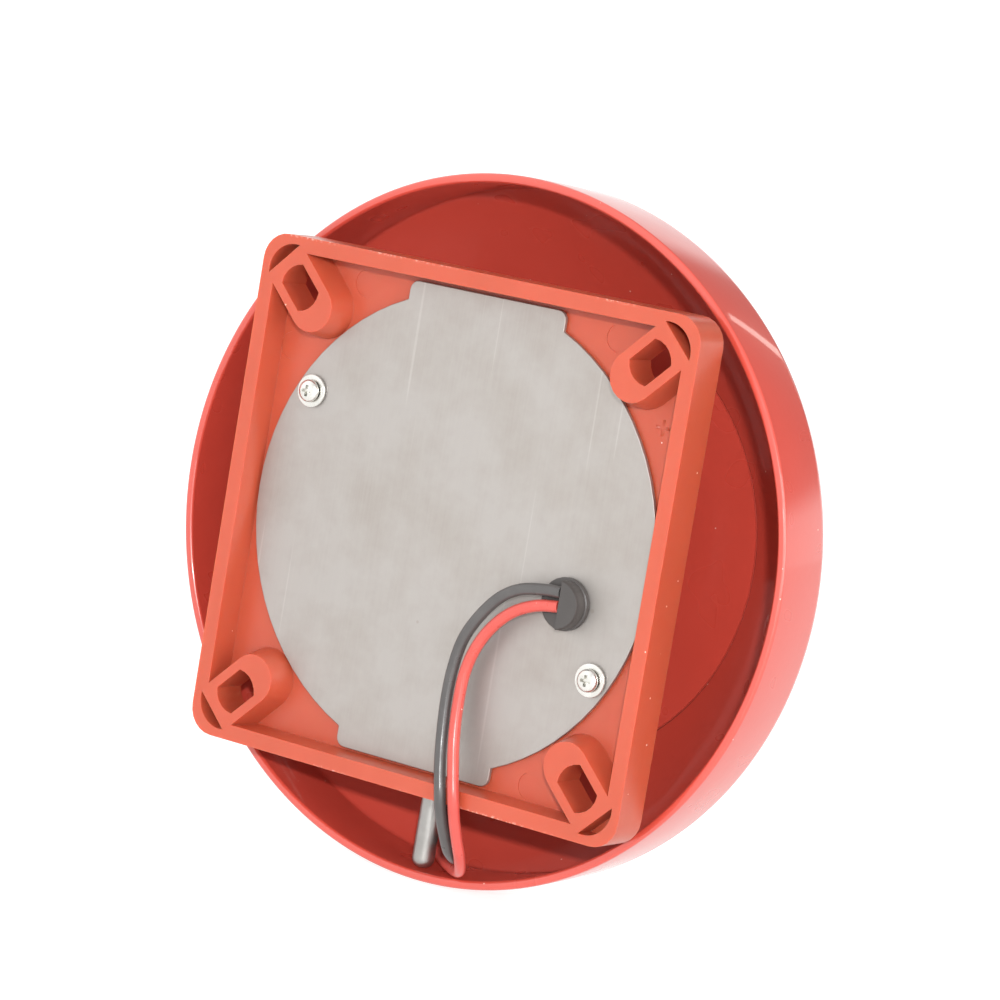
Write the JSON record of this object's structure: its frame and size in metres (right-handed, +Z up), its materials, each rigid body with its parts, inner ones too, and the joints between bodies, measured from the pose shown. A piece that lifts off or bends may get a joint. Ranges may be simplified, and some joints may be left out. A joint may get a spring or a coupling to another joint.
{
  "type": "fire alarm bell",
  "caption": "Round red dished gong on a square moulded back box, with a motor-driven plunger that strikes the gong from inside",
  "frame": {"origin": "centre of the back box's rear rim, the plane that lies on the wall", "axes": "+Z up with the striker pointing down, +Y into the wall along the bell's axis, gong facing -Y, +X to the right seen from the front"},
  "size_m": [0.15, 0.0589, 0.15],
  "materials": {
    "gong_paint": "gloss red stoved enamel on steel",
    "red_abs": "satin moulded red ABS",
    "plate_steel": "bare cold-rolled sheet, faintly brushed",
    "zinc_steel": "bright zinc plate",
    "black_nylon": "satin black moulding",
    "black_pvc": "smooth black insulation",
    "red_pvc": "smooth red insulation",
    "tinned_copper": "dull tinned strands",
    "striker_steel": "bright turned steel",
    "white_nylon": "natural nylon",
    "brass": "turned brass",
    "rubber": "matt black rubber",
    "board_laminate": "green laminate",
    "component_blue": "blue sleeve",
    "winding_copper": "enamelled copper on iron",
    "ferrite": "dark sintered ferrite"
  },
  "bodies": {
    "bell_body": {"gong": "gong_paint", "back_box": "red_abs", "back_plate": "plate_steel", "strain_relief": "black_nylon", "lead_black": "black_pvc", "lead_red": "red_pvc", "lead_tip_black": "tinned_copper", "lead_tip_red": "tinned_copper", "inner_lead_black": "black_pvc", "inner_lead_red": "red_pvc", "motor_wire_black": "black_pvc", "motor_wire_red": "red_pvc", "guide_bush": "brass", "return_spring": "zinc_steel", "motor_can": "zinc_steel", "motor_end_cap": "black_nylon", "motor_terminal_a": "brass", "motor_terminal_b": "brass", "motor_bearing": "brass", "motor_magnet_a": "ferrite", "motor_magnet_b": "ferrite", "motor_bracket": "zinc_steel", "bracket_screw_a": "zinc_steel", "bracket_screw_b": "zinc_steel", "circuit_board": "board_laminate", "board_screw_a": "zinc_steel", "board_screw_b": "zinc_steel", "terminal_block": "black_nylon", "surge_capacitor": "component_blue", "varistor_disc": "brass", "flyback_diode": "black_nylon", "choke_ring": "ferrite", "plate_screw_a": "zinc_steel", "plate_screw_b": "zinc_steel", "plate_washer_a": "zinc_steel", "plate_washer_b": "zinc_steel", "gong_bolt": "zinc_steel", "gong_washer": "zinc_steel", "gong_pad_front": "rubber", "gong_pad_rear": "rubber", "gong_nut": "zinc_steel"},
    "rotor": {"motor_shaft": "striker_steel", "motor_armature": "winding_copper", "eccentric_cam": "brass", "cam_grub_screw": "zinc_steel"},
    "striker": {"striker_rod": "striker_steel", "striker_yoke": "white_nylon", "striker_pin": "zinc_steel"}
  },
  "joints": [
    {"name": "motor_spin", "type": "hinge", "parent": "bell_body", "child": "rotor", "pos_m": [0, -0.016, -0.0193], "axis": [0, 1, 0], "range_deg": [0, 180]},
    {"name": "striker_slide", "type": "slide", "parent": "bell_body", "child": "striker", "axis": [0, 0, 1], "range_m": [0, 0.003], "deforming": ["return_spring"]}
  ],
  "couplings": [
    {"joint": "motor_spin", "follows": "striker_slide", "rad_per_m": 1047.2}
  ]
}
